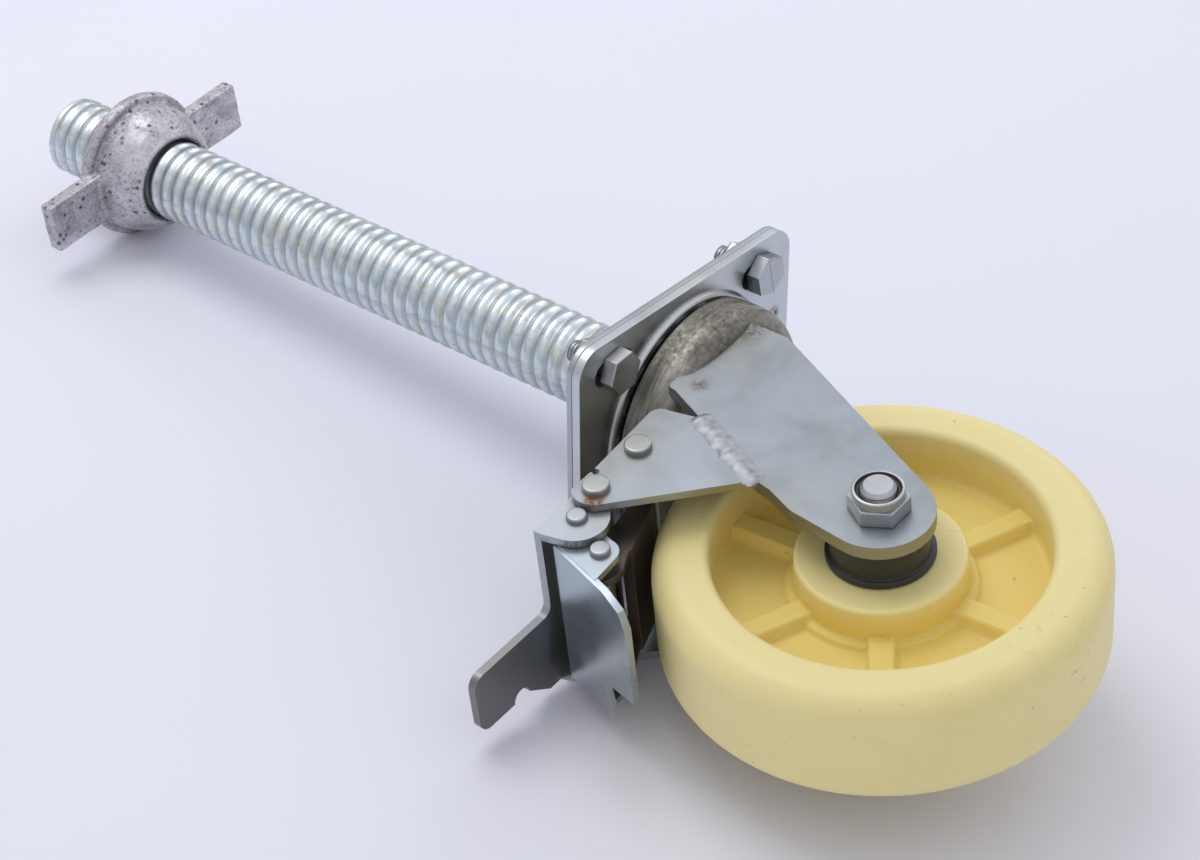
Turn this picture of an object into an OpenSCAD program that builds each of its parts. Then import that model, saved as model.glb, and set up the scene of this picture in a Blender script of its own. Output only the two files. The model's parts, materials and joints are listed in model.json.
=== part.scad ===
// Scaffold castor: a threaded stem with a wing nut, a swivelling fork, a nylon wheel and a foot brake.
// The origin is the foot of the stem, on its axis. +Z runs up the stem, the axle lies along Y and
// the brake reaches out towards +X. All sizes are in millimetres.

/* [Stem] */
// Outer diameter over the thread crests
stem_d = 32.2; // [30:0.1:34]
// Length of the stem above its plate
stem_len = 317; // [300:1:360]
// Distance from crest to crest
thread_pitch = 6.35; // [5:0.05:8]
// Depth of the thread
thread_depth = 1.5; // [0.8:0.1:2]
// Plain length at each end of the thread
stem_land = 6; // [4:0.5:8]
// Leg of the fillet weld around the stem's foot
stem_weld_leg = 5; // [3:0.5:7]

/* [Wing nut] */
// Height of the nut's lower face above the stem plate
nut_seat = 257; // [60:1:275]
// Height of the nut
nut_h = 25; // [24:0.5:27]
// Thickness of the nut's upper rim
nut_rim_t = 5.5; // [5:0.5:7]
// Diameter of the nut's upper rim
nut_rim_d = 60; // [58:0.5:64]
// Radial play between the nut and the thread crests
nut_play = 0.3; // [0.2:0.05:0.5]
// Span over both wings
wing_span = 104; // [94:1:120]
// Width of a wing
wing_w = 21; // [16:1:24]
// Thickness of a wing
wing_t = 6; // [4:0.5:8]

/* [Plates] */
// Length of both plates
plate_l = 118.5; // [112:0.5:124]
// Width of both plates
plate_w = 99.5; // [96:0.5:106]
// Corner radius of both plates
plate_corner_r = 10; // [6:0.5:12]
// Thickness of the plate welded to the stem
stem_plate_t = 2.5; // [2:0.1:3.5]
// Thickness of the castor's own plate
castor_plate_t = 3.5; // [3:0.1:4.5]
// Turn of the plates against the fork
plate_turn = 8; // [0:1:12]
// Spacing of the plate bolts along the plate
bolt_pitch_l = 82; // [80:0.5:84]
// Spacing of the plate bolts across the plate
bolt_pitch_w = 75.5; // [74:0.5:77]
// Diameter of the plate bolts
bolt_d = 8; // [7:0.5:8]
// Width of the bolt heads and nuts across their flats
bolt_af = 14; // [13:0.5:14]
// End-to-end length of the slots in the castor plate
slot_l = 20; // [14:0.5:20]

/* [Swivel] */
// Diameter of the pressed ring under the castor plate
race_d = 89.6; // [88:0.2:91]
// Depth of the pressed ring
race_h = 2; // [1.5:0.1:2.2]
// Diameter of the circle of upper balls
upper_ring_d = 77.4; // [76:0.2:78]
// Diameter of the upper balls
upper_ball_d = 7; // [6.8:0.1:7]
// Number of upper balls
upper_balls_n = 20; // [12:1:24]
// Diameter of the circle of lower balls
lower_ring_d = 29; // [28:0.2:30]
// Diameter of the lower balls
lower_ball_d = 5; // [4.8:0.1:5]
// Number of lower balls
lower_balls_n = 12; // [8:1:14]
// Diameter of the kingpin
kingpin_d = 14; // [12:0.5:15]

/* [Fork] */
// Outer width over the fork legs
fork_w = 73.4; // [72:0.2:76]
// Thickness of the fork's sheet
fork_t = 5; // [4:0.5:5]
// Offset of the axle from the swivel axis
trail = 38.4; // [37:0.2:40]
// Drop of the axle below the castor plate
axle_drop = 111.2; // [110:0.2:114]
// Radius of the rounded end of a leg
leg_end_r = 18.4; // [17:0.2:19]
// Outer diameter of the fork's crown
crown_d = 87; // [86:0.2:88]

/* [Wheel] */
// Diameter of the wheel
wheel_d = 150; // [148:0.5:151]
// Width of the wheel
wheel_w = 44; // [40:0.5:46]
// Radius of the shoulder between tread and face
shoulder_r = 11; // [8:0.5:13]
// Diameter of the recess in each face
recess_d = 111; // [108:0.5:114]
// Diameter of the hub
hub_d = 56.8; // [54:0.2:60]
// Width over the hub
hub_w = 35.8; // [34:0.2:37]
// Thickness of the web between hub and rim
web_t = 7; // [5:0.5:9]
// Number of ribs on each face
ribs_n = 6; // [5:1:8]
// Width of a rib
rib_w = 9; // [6:0.5:10]
// Height of a rib above the web
rib_h = 4.5; // [3:0.5:6]

/* [Axle] */
// Diameter of the axle bolt
axle_d = 12; // [11:0.5:12]
// Width of the axle nut across its flats
axle_af = 18; // [17:0.5:19]
// Outer diameter of the wheel bearings
bearing_od = 32; // [30:0.5:34]
// Width of the wheel bearings
bearing_w = 10; // [9:0.5:10]
// Diameter of the bearing balls
bearing_ball_d = 6; // [5.6:0.1:6]
// Number of balls in a bearing
bearing_balls_n = 7; // [6:1:8]
// Diameter of the dust cap's lip
cap_lip_d = 36.4; // [35:0.2:38]

/* [Brake] */
// Thickness of the bracket plates
bracket_t = 3; // [2.5:0.1:3.2]
// Thickness of the lever's sheet
lever_t = 3; // [2.5:0.1:3]
// Thickness of the link's sheet
link_t = 2.6; // [2:0.1:2.8]
// Offset of the shoe's pivot pin from the swivel axis
shoe_pin_x = 57.7; // [57.4:0.1:58]
// Drop of the shoe's pivot pin below the castor plate
shoe_pin_drop = 27.7; // [27.4:0.1:28]
// Offset of the lever's pivot pin
lever_pin_x = 80.9; // [80.6:0.1:81.2]
// Drop of the lever's pivot pin
lever_pin_drop = 28.6; // [28.3:0.1:28.9]
// Offset of the pin between lever and link
link_pin_x = 93; // [92.8:0.1:93.2]
// Drop of the pin between lever and link
link_pin_drop = 30.1; // [29.9:0.1:30.3]
// Offset of the pin between link and shoe
toe_pin_x = 98.5; // [98.2:0.1:98.8]
// Drop of the pin between link and shoe
toe_pin_drop = 44; // [43.8:0.1:44.3]
// Turn of the shoe between released and braking
shoe_travel = 6.9; // [6:0.1:7.4]
// Reach of the foot tab from the swivel axis
foot_reach = 145; // [138:0.5:150]

/* [Hidden] */
$fn = 64;
// Play of a turning pin in its hole, and the side gap between sheets that move past each other
pin_play = 0.06;
side_gap = 0.3;
// Seats that stay put have a hair of room
seat_gap = 0.02;

stem_r = stem_d / 2;
face_z = -(stem_plate_t + castor_plate_t);
axle_z = -axle_drop;
leg_out = fork_w / 2;
leg_in = leg_out - fork_t;

// Swivel stack, below the castor plate's lower face
upper_ball_z = -race_h - 2.6;
crown_rim_z = -7.5;
crown_lip_z = upper_ball_z + 0.6;
crown_floor_z = -15.5;
crown_under_z = -21;
crown_bend_r = 10;
// Inner wall of the crown's dish, inward from the circle of upper balls
dish_foot = 7;
dish_top = 4.5;
crown_r = crown_d / 2;
crown_bend = [crown_r - crown_bend_r, crown_under_z + crown_bend_r];
upper_ring_r = upper_ring_d / 2;
lower_ring_r = lower_ring_d / 2;
kingpin_r = kingpin_d / 2;
lower_ball_z = crown_under_z - 1.8;
cup_top_z = lower_ball_z - 1.2;
cup_t = 3.5;
cup_r = lower_ring_r + 5.5;
kingpin_head_r = 12;
kingpin_head_h = 5;

// Wheel and axle stack, along the axle
wheel_r = wheel_d / 2;
wheel_half = wheel_w / 2;
hub_half = hub_w / 2;
web_half = web_t / 2;
recess_r = recess_d / 2;
hub_r = hub_d / 2;
hub_foot_r = hub_r + 3;
hub_foot_half = web_half + 2;
rim_edge_r = 3;
hub_edge_r = 1.5;
rib_phase = -35;
bearing_out = hub_half - 1.4;
bearing_in = bearing_out - bearing_w;
bearing_r = bearing_od / 2;
axle_r = axle_d / 2;
race_ring_r = (bearing_r + axle_r + 1) / 2;
outer_ring_in_r = race_ring_r + 1.9;
inner_ring_out_r = race_ring_r - 1.9;
wheel_bore_r = bearing_r - 2;
cap_lip_t = 2.3;
cap_body_r = cap_lip_d / 2 - 1.8;
cap_nose_r = inner_ring_out_r - 0.3;
nut_hex_h = 6;
nut_collar_h = 3.2;
nut_collar_r = axle_af / 2 - 0.3;
nut_collar_edge_r = 1.2;
bolt_end = leg_out + nut_hex_h + nut_collar_h + 1.3;
insert_h = 2.4;
insert_r = axle_r + 1.6;

// Plate bolts
bolt_r = bolt_d / 2;
bolt_head_h = 5.5;
bolt_nut_h = 6.5;
bolt_end_z = 12;

// Brake layers, from the outside in
bracket_in = leg_out - bracket_t;
lever_out = bracket_in - side_gap;
lever_in = lever_out - lever_t;
link_out = lever_in - side_gap;
link_in = link_out - link_t;
arm_out = 23;
arm_t = 3;
shoe_pin = [shoe_pin_x, -shoe_pin_drop];
lever_pin_c = [lever_pin_x, -lever_pin_drop];
link_pin_c = [link_pin_x, -link_pin_drop];
toe_pin_c = [toe_pin_x, -toe_pin_drop];
axle_c = [trail, axle_z];
pin_r = 3.5;
small_pin_r = 3;
big_head_r = 4.7;
small_head_r = 3.5;
head_h = 2.4;
small_head_h = 2;
rivet_edge_r = 0.8;
toe_slack = 0.4;
bracket_tip_r = 8.2;
bracket_lip = lever_pin_c + [-7.6, 6.6];
bracket_nick_r = 1.3;
lever_lobe_r = 10.9;
lever_tail_r = bracket_tip_r - 2.2;
lever_top_z = -22;
lever_front_x = 105.5;
lever_back_x = 76;
lever_back_top_z = -24.5;
tab_near_y = -2;
tab_far_y = -26.3;
link_lobe_r = 6.2;
link_top_lobe_r = 4.7;
link_top = [104.8, -29.3];
link_lean = 16.5;
link_tab_l = 39.5;
link_side_l = 25;
pad_t = 4;
pad_clear = 0.4;
pad_at = 62.5;
pad_l = 25;
shoe_ear_r = 6.5;
shoe_arm_upper = [shoe_pin + [12.3, -4.3], shoe_pin + [22.3, -6.7], shoe_pin + [30.3, -7.8]];
shoe_arm_lower = [toe_pin_c + [-9.5, -3], shoe_pin + [18.3, -13], shoe_pin + [5.3, -9]];

// Leg edges: the rear edge has one corner, the front edge has a seam with the bracket and a bend below it
leg_rear_top = [-16, -16];
leg_rear_knee = [-16, -35];
leg_front_top = [27, -16];
leg_front_shoulder = [27.4, -19.5];
seam_top = [34.3, -35.6];
seam_foot = [49.2, -70];
leg_front_knee = [50.4, -76.7];
leg_front_hip = [54.7, -88];
weld_w = 9;
weld_h = 2;
weld_r = (weld_w * weld_w / 4 + weld_h * weld_h) / (2 * weld_h);
weld_end = 3;

zinc = [0.72, 0.74, 0.76];
dull_zinc = [0.6, 0.6, 0.58];
cast_grey = [0.6, 0.57, 0.6];
steel = [0.75, 0.75, 0.77];
nylon = [0.93, 0.87, 0.62];
dark = [0.2, 0.2, 0.22];

// Point where a line from p touches a circle; side is 1 or -1
function touch(p, c, r, side) =
    let (v = c - p, d = norm(v), a = atan2(v[1], v[0]) + side * asin(r / d), l = sqrt(d * d - r * r))
    p + l * [cos(a), sin(a)];

// Point in the middle of the link's leaning sheet, at a distance down from its upper edge
function in_web(s) =
    link_top + s * [sin(link_lean), -cos(link_lean)] - link_t / 2 * [cos(link_lean), sin(link_lean)];

// Lays a flat outline drawn in x and z between two places along the axle
module side_plate(y0, y1) {
    translate([0, y1, 0]) rotate([90, 0, 0]) linear_extrude(y1 - y0) children();
}

// Turns a profile, drawn as radius and place along the axle, about the axle
module about_axle() {
    translate([trail, 0, axle_z]) rotate([-90, 0, 0]) rotate_extrude() children();
}

// Below the castor plate's lower face
module under_plate() {
    translate([0, 0, face_z]) children();
}

module rounded_rect(w, h, r) {
    square([w - 2 * r, h], center = true);
    square([w, h - 2 * r], center = true);
    for (sx = [-1, 1], sy = [-1, 1]) translate([sx * (w / 2 - r), sy * (h / 2 - r)]) circle(r);
}

module slot(l, w) {
    square([l - w, w], center = true);
    for (s = [-1, 1]) translate([s * (l - w) / 2, 0]) circle(d = w);
}

module hex(af) {
    circle(d = af / cos(30), $fn = 6);
}

module at_bolts() {
    rotate(plate_turn) for (sx = [-1, 1], sy = [-1, 1])
        translate([sx * bolt_pitch_l / 2, sy * bolt_pitch_w / 2, 0]) children();
}

// A round bar along the axle's direction with a flat, round-edged rivet head at each end
module rivet(c, r, half, head_r, h) {
    translate([c[0], 0, c[1]]) rotate([-90, 0, 0]) {
        translate([0, 0, -half]) cylinder(r = r, h = 2 * half);
        for (s = [0, 180]) rotate([s, 0, 0]) translate([0, 0, half]) rotate_extrude() {
            square([head_r - rivet_edge_r, h]);
            square([head_r, h - rivet_edge_r]);
            translate([head_r, h] - rivet_edge_r * [1, 1]) circle(rivet_edge_r);
        }
    }
}

// Threaded stem: a solid bar with ring ridges at the thread's pitch, plain at both ends
module threaded_stem() {
    turns = floor((stem_len - 2 * stem_land) / thread_pitch);
    start = stem_land + (stem_len - 2 * stem_land - turns * thread_pitch) / 2;
    root_r = stem_r - thread_depth;
    ridges = [for (i = [0 : turns - 1]) each [
        [stem_r, start + (i + 0.2) * thread_pitch],
        [root_r, start + (i + 0.6) * thread_pitch],
        [stem_r, start + (i + 1) * thread_pitch]]];
    tip_chamfer = 1;
    color(zinc) rotate_extrude()
        polygon(concat([[0, 0], [stem_r, 0]], ridges,
            [[stem_r, stem_len - tip_chamfer], [stem_r - tip_chamfer, stem_len], [0, stem_len]]));
}

// Fillet weld around the stem's foot
module stem_weld() {
    color(steel) rotate_extrude() translate([stem_r, 0]) difference() {
        square(stem_weld_leg);
        translate([stem_weld_leg * 1.4, stem_weld_leg * 1.4]) circle(stem_weld_leg * 1.25);
    }
}

module stem_plate() {
    color(zinc) translate([0, 0, -stem_plate_t]) difference() {
        rotate(plate_turn) linear_extrude(stem_plate_t) rounded_rect(plate_l, plate_w, plate_corner_r);
        at_bolts() translate([0, 0, -1]) cylinder(r = bolt_r + 0.5, h = stem_plate_t + 2);
    }
}

// Castor plate with slotted holes and a pressed ring that holds the upper balls
module castor_plate() {
    color(zinc) under_plate() difference() {
        union() {
            rotate(plate_turn) linear_extrude(castor_plate_t) rounded_rect(plate_l, plate_w, plate_corner_r);
            rotate_extrude() {
                translate([race_d / 2 - 12, -race_h]) square([12 - race_h, race_h]);
                intersection() {
                    translate([race_d / 2 - race_h, 0]) circle(race_h);
                    translate([race_d / 2 - race_h, -race_h]) square(race_h);
                }
            }
        }
        at_bolts() translate([0, 0, -1]) linear_extrude(castor_plate_t + 2) slot(slot_l, bolt_d + 1);
        rotate_extrude() translate([upper_ring_r, upper_ball_z]) circle(upper_ball_d / 2 + side_gap);
        translate([0, 0, -1]) cylinder(r = kingpin_r + seat_gap, h = castor_plate_t + 2);
    }
}

module plate_bolts() {
    color(steel) at_bolts() {
        translate([0, 0, face_z - bolt_head_h]) linear_extrude(bolt_head_h) hex(bolt_af);
        translate([0, 0, face_z]) cylinder(r = bolt_r, h = bolt_end_z - face_z);
    }
}

module plate_nuts() {
    color(steel) at_bolts() linear_extrude(bolt_nut_h) difference() {
        hex(bolt_af);
        circle(bolt_r + seat_gap);
    }
}

// Riveted pin that clamps the swivel together
module kingpin() {
    head_z = cup_top_z - cup_t;
    color(steel) under_plate() {
        translate([0, 0, head_z]) cylinder(r = kingpin_r, h = castor_plate_t - head_z);
        translate([0, 0, head_z - kingpin_head_h])
            cylinder(r1 = kingpin_head_r - 3, r2 = kingpin_head_r, h = kingpin_head_h);
    }
}

module ball_ring(n, ring_r, z, d) {
    for (i = [0 : n - 1]) rotate(i * 360 / n) translate([ring_r, 0, z]) sphere(d = d, $fn = 32);
}

module upper_balls() {
    color(steel) under_plate() ball_ring(upper_balls_n, upper_ring_r, upper_ball_z, upper_ball_d);
}

module lower_balls() {
    color(steel) under_plate() ball_ring(lower_balls_n, lower_ring_r, lower_ball_z, lower_ball_d);
}

// Cup that carries the lower balls on the kingpin
module lower_race() {
    color(dull_zinc) under_plate() rotate_extrude() difference() {
        translate([kingpin_r + seat_gap, cup_top_z - cup_t]) square([cup_r - kingpin_r - seat_gap, cup_t]);
        translate([lower_ring_r, lower_ball_z]) circle(lower_ball_d / 2 + side_gap);
    }
}

module leg_outline() {
    polygon([leg_rear_top, leg_front_top, leg_front_shoulder, seam_top, seam_foot, leg_front_knee,
        leg_front_hip, touch(leg_front_hip, axle_c, leg_end_r, 1), axle_c,
        touch(leg_rear_knee, axle_c, leg_end_r, -1), leg_rear_knee]);
    translate(axle_c) circle(leg_end_r);
}

// Dished crown, turned about the swivel axis: a lip outside the upper balls, a round lower edge
module crown_profile() {
    difference() {
        union() {
            polygon([[kingpin_r + pin_play, crown_floor_z], [upper_ring_r - dish_foot, crown_floor_z],
                [upper_ring_r - dish_top, crown_rim_z], [upper_ring_r, crown_rim_z],
                [upper_ring_r, crown_lip_z], [crown_r, crown_lip_z], [crown_r, crown_bend[1]], crown_bend,
                [crown_bend[0], crown_under_z], [kingpin_r + pin_play, crown_under_z]]);
            intersection() {
                translate(crown_bend) circle(crown_bend_r);
                translate([crown_bend[0], crown_under_z]) square(crown_bend_r);
            }
        }
        translate([upper_ring_r, upper_ball_z]) circle(upper_ball_d / 2 + seat_gap);
        translate([lower_ring_r, lower_ball_z]) circle(lower_ball_d / 2 + seat_gap);
    }
}

// Fork pressed from one sheet: a dished crown with two legs
module fork() {
    color(zinc) under_plate() difference() {
        union() {
            rotate_extrude() crown_profile();
            for (y = [-leg_out, leg_in]) side_plate(y, y + fork_t) leg_outline();
        }
        translate([trail, leg_out + 1, axle_z]) rotate([90, 0, 0])
            cylinder(r = axle_r + seat_gap, h = fork_w + 2);
    }
}

// Three-cornered bracket plate, butted against a leg's front edge, with a nick above the lever's pivot
module bracket_outline() {
    corner = seam_top + [7.2, 11.6];
    corner_r = 4.5;
    difference() {
        union() {
            polygon([seam_top, seam_foot, touch(seam_foot, lever_pin_c, bracket_tip_r, -1), lever_pin_c,
                bracket_lip, corner + [0, corner_r], corner, corner - [corner_r, 0]]);
            translate(corner) circle(corner_r);
            translate(lever_pin_c) circle(bracket_tip_r);
        }
        translate(bracket_lip) square(2 * bracket_tip_r);
        translate(bracket_lip + [bracket_nick_r, -bracket_nick_r]) circle(bracket_nick_r);
        translate(shoe_pin) circle(pin_r + seat_gap);
        translate(lever_pin_c) circle(pin_r + seat_gap);
    }
}

module bracket_near() {
    color(zinc) under_plate() side_plate(bracket_in, leg_out) bracket_outline();
}

module bracket_far() {
    color(zinc) under_plate() side_plate(-leg_out, -bracket_in) bracket_outline();
}

// Low weld bead along the seam between leg and bracket, on the outer face
module seam_bead() {
    run = seam_foot - seam_top;
    start = seam_top + weld_end * run / norm(run);
    bead_l = norm(run) - 2 * weld_end;
    under_plate() intersection() {
        translate([start[0], leg_out + weld_h - weld_r, start[1]]) rotate([0, 90 - atan2(run[1], run[0]), 0])
            union() {
                cylinder(r = weld_r, h = bead_l);
                for (z = [0, bead_l]) translate([0, 0, z]) sphere(r = weld_r);
            }
        translate([seam_top[0] - weld_w, leg_out, seam_foot[1] - weld_w])
            cube([run[0] + 2 * weld_w, weld_h, 2 * weld_w - run[1]]);
    }
}

module weld_near() {
    color(steel) seam_bead();
}

module weld_far() {
    color(steel) mirror([0, 1, 0]) seam_bead();
}

module shoe_pivot() {
    color(steel) under_plate() rivet(shoe_pin, pin_r, leg_out, big_head_r, head_h);
}

module lever_pivot() {
    color(steel) under_plate() rivet(lever_pin_c, pin_r, leg_out, big_head_r, head_h);
}

module link_pivot() {
    color(steel) under_plate() rivet(link_pin_c, small_pin_r, lever_out, small_head_r, small_head_h);
}

module toe_pin() {
    color(steel) under_plate() rivet(toe_pin_c, small_pin_r, link_out, small_head_r, small_head_h);
}

// Axle bolt: hexagon head on the far side, thread end on the near side
module axle_bolt() {
    head_h_axle = 7.5;
    end_chamfer = 1.2;
    color(steel) under_plate() translate([trail, -leg_out, axle_z]) rotate([-90, 0, 0]) {
        translate([0, 0, -head_h_axle]) linear_extrude(head_h_axle) hex(axle_af);
        cylinder(r = axle_r, h = leg_out + bolt_end - end_chamfer);
        translate([0, 0, leg_out + bolt_end - end_chamfer])
            cylinder(r1 = axle_r, r2 = axle_r - end_chamfer, h = end_chamfer);
    }
}

// Locking nut: a hexagon with a round collar that holds the nylon ring
module axle_nut() {
    collar_top = nut_hex_h + nut_collar_h;
    color(steel) under_plate() translate([trail, leg_out, axle_z]) rotate([-90, 0, 0]) difference() {
        union() {
            intersection() {
                linear_extrude(nut_hex_h) hex(axle_af);
                cylinder(r1 = axle_af / 2 + nut_hex_h, r2 = axle_af / 2, h = nut_hex_h + 0.01);
            }
            rotate_extrude() {
                square([nut_collar_r, collar_top - nut_collar_edge_r]);
                square([nut_collar_r - nut_collar_edge_r, collar_top]);
                translate([nut_collar_r, collar_top] - nut_collar_edge_r * [1, 1]) circle(nut_collar_edge_r);
            }
        }
        translate([0, 0, -1]) cylinder(r = axle_r + seat_gap, h = collar_top + 2);
        translate([0, 0, collar_top - insert_h - 1]) cylinder(r = insert_r, h = insert_h + 2);
    }
}

module nut_insert() {
    collar_top = nut_hex_h + nut_collar_h;
    color(dark) under_plate() translate([trail, leg_out + collar_top - insert_h - 1, axle_z])
        rotate([-90, 0, 0]) difference() {
            cylinder(r = insert_r, h = insert_h);
            translate([0, 0, -1]) cylinder(r = axle_r + seat_gap, h = insert_h + 2);
        }
}

// Tube that keeps the two inner rings apart on the axle
module bearing_spacer() {
    wall = inner_ring_out_r - axle_r - 0.6;
    color(steel) under_plate() about_axle()
        translate([axle_r + seat_gap, -bearing_in]) square([wall, 2 * bearing_in]);
}

// Dark cap between fork leg and bearing: a nose on the inner ring, a lip over the hub and a round body
module dust_cap_profile() {
    lip = hub_half + side_gap;
    difference() {
        union() {
            translate([0, bearing_out]) square([cap_nose_r, lip - bearing_out]);
            translate([0, lip]) square([cap_lip_d / 2, cap_lip_t]);
            translate([0, lip]) square([cap_body_r, leg_in - lip]);
        }
        square([axle_r + seat_gap, leg_out]);
    }
}

module dust_cap_near() {
    color(dark) under_plate() about_axle() dust_cap_profile();
}

module dust_cap_far() {
    color(dark) under_plate() about_axle() mirror([0, 1]) dust_cap_profile();
}

module race_groove() {
    translate([race_ring_r, (bearing_in + bearing_out) / 2]) circle(bearing_ball_d / 2 + pin_play);
}

module inner_ring_profile() {
    difference() {
        translate([axle_r + seat_gap, bearing_in]) square([inner_ring_out_r - axle_r - seat_gap, bearing_w]);
        race_groove();
    }
}

module inner_ring_near() {
    color(steel) under_plate() about_axle() inner_ring_profile();
}

module inner_ring_far() {
    color(steel) under_plate() about_axle() mirror([0, 1]) inner_ring_profile();
}

module outer_ring_profile() {
    difference() {
        translate([outer_ring_in_r, bearing_in]) square([bearing_r - outer_ring_in_r, bearing_w]);
        race_groove();
    }
}

module outer_ring_near() {
    color(steel) under_plate() about_axle() outer_ring_profile();
}

module outer_ring_far() {
    color(steel) under_plate() about_axle() mirror([0, 1]) outer_ring_profile();
}

module bearing_balls(side) {
    color(steel) under_plate()
        translate([trail, side * (bearing_in + bearing_out) / 2, axle_z]) rotate([-90, 0, 0])
            ball_ring(bearing_balls_n, race_ring_r, 0, bearing_ball_d);
}

module bearing_balls_near() {
    bearing_balls(1);
}

module bearing_balls_far() {
    bearing_balls(-1);
}

// Half of the wheel's section, as radius and place along the axle
module wheel_section() {
    rim_depth = wheel_r - recess_r;
    translate([recess_r, -wheel_half + rim_edge_r]) square([rim_depth / 2, wheel_w - 2 * rim_edge_r]);
    translate([recess_r + rim_edge_r, -wheel_half]) square([rim_depth - rim_edge_r - shoulder_r, wheel_w]);
    translate([recess_r + rim_edge_r, shoulder_r - wheel_half])
        square([rim_depth - rim_edge_r, wheel_w - 2 * shoulder_r]);
    for (s = [-1, 1]) {
        translate([wheel_r - shoulder_r, s * (wheel_half - shoulder_r)]) circle(shoulder_r);
        translate([recess_r + rim_edge_r, s * (wheel_half - rim_edge_r)]) circle(rim_edge_r);
    }
    translate([wheel_bore_r, -web_half]) square([wheel_r - shoulder_r - wheel_bore_r, web_t]);
    translate([wheel_bore_r, -hub_foot_half]) square([hub_foot_r - wheel_bore_r, 2 * hub_foot_half]);
    translate([wheel_bore_r, hub_edge_r - hub_half]) square([hub_r - wheel_bore_r, hub_w - 2 * hub_edge_r]);
    translate([wheel_bore_r, -hub_half]) square([hub_r - wheel_bore_r - hub_edge_r, hub_w]);
    for (s = [-1, 1]) translate([hub_r - hub_edge_r, s * (hub_half - hub_edge_r)]) circle(hub_edge_r);
}

// Moulded nylon wheel with a deep recess and low ribs on both faces
module wheel() {
    color(nylon) under_plate() translate([trail, 0, axle_z]) rotate([-90, 0, 0]) difference() {
        union() {
            rotate_extrude() wheel_section();
            for (i = [0 : ribs_n - 1]) rotate(-rib_phase + i * 360 / ribs_n)
                translate([hub_r - 2, -rib_w / 2, -web_half - rib_h])
                    cube([recess_r - hub_r + 5, rib_w, web_t + 2 * rib_h]);
        }
        for (z = [bearing_in, -hub_half - 1]) translate([0, 0, z])
            cylinder(r = bearing_r, h = hub_half + 1 - bearing_in);
    }
}

module lever_flange() {
    front_foot = [lever_front_x, lever_top_z - lever_t];
    lobe_foot = link_pin_c - [0, lever_lobe_r];
    difference() {
        union() {
            translate(link_pin_c) circle(lever_lobe_r);
            translate(lever_pin_c) circle(lever_tail_r);
            polygon([[lever_back_x, lever_back_top_z], [link_pin_x - lever_lobe_r / 2, lever_top_z],
                [lever_front_x, lever_top_z], front_foot, touch(front_foot, link_pin_c, lever_lobe_r, 1),
                lobe_foot, touch(lobe_foot, lever_pin_c, lever_tail_r, 1)]);
        }
        translate([lever_back_x, lever_top_z]) square([lever_front_x - lever_back_x, lever_lobe_r]);
        translate(lever_pin_c) circle(pin_r + pin_play);
        translate(link_pin_c) circle(small_pin_r + seat_gap);
    }
}

// Outline of the lever's top sheet seen from above; the foot tab's far edge has a slope and a round notch
module lever_top() {
    slope_from = lever_front_x + 5.5;
    slope_to = lever_front_x + 15.2;
    notch_r = 3.8;
    tip_r = 5;
    fillet_r = 4;
    translate([link_pin_x - lever_lobe_r / 2, -lever_out])
        square([lever_front_x - link_pin_x + lever_lobe_r / 2, 2 * lever_out]);
    difference() {
        translate([lever_front_x - 1, tab_far_y])
            square([foot_reach - lever_front_x + 1 - tip_r, tab_near_y - tab_far_y]);
        translate([slope_to + notch_r, tab_far_y]) circle(notch_r);
    }
    translate([foot_reach - tip_r - 1, tab_far_y + tip_r])
        square([tip_r + 1, tab_near_y - tab_far_y - 2 * tip_r]);
    for (y = [tab_far_y + tip_r, tab_near_y - tip_r]) translate([foot_reach - tip_r, y]) circle(tip_r);
    polygon([[lever_front_x - 1, -lever_out], [slope_from, -lever_out], [slope_to, tab_far_y],
        [lever_front_x - 1, tab_far_y + 1]]);
    difference() {
        translate([lever_front_x - 1, tab_near_y - 1]) square(fillet_r + 1);
        translate([lever_front_x + fillet_r, tab_near_y + fillet_r]) circle(fillet_r);
    }
}

// Folded brake lever: a top sheet with a foot tab and two side flanges
module brake_lever() {
    color(zinc) under_plate() {
        translate([0, 0, lever_top_z - lever_t]) linear_extrude(lever_t) lever_top();
        side_plate(lever_in, lever_out) lever_flange();
        side_plate(-lever_out, -lever_in) lever_flange();
    }
}

module link_flange() {
    difference() {
        union() {
            translate(link_pin_c) circle(link_top_lobe_r);
            translate(toe_pin_c) circle(link_lobe_r);
            polygon([link_pin_c + [0, link_top_lobe_r], in_web(0.5), in_web(link_side_l - link_t),
                toe_pin_c - [0, link_lobe_r], toe_pin_c - [link_lobe_r, 0],
                link_pin_c - [link_top_lobe_r, 0]]);
        }
        translate(link_pin_c) circle(small_pin_r + pin_play);
        translate(toe_pin_c) circle(small_pin_r + seat_gap);
    }
}

// Outline of the link's web, as place across and length down the lean; the lower edge has a tab and a notch
module link_web() {
    fold_step = 0.2;
    half = link_out - fold_step;
    corner = 3;
    tip = 9;
    tab_edge = 0.4 * half;
    polygon([[half, 0], [half, link_side_l + corner], [half - corner, link_tab_l - corner],
        [half - tip, link_tab_l], [-tab_edge, link_tab_l], [-half / 2, link_side_l - corner],
        [-half, link_side_l], [-half, 0]]);
}

// Folded link: a leaning web between two side flanges
module brake_link() {
    color(zinc) under_plate() {
        translate([link_top[0], 0, link_top[1]]) rotate([0, 90 - link_lean, 0]) rotate([0, 0, 90])
            translate([0, 0, -link_t]) linear_extrude(link_t) mirror([0, 1]) link_web();
        side_plate(link_in, link_out) link_flange();
        side_plate(-link_out, -link_in) link_flange();
    }
}

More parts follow.
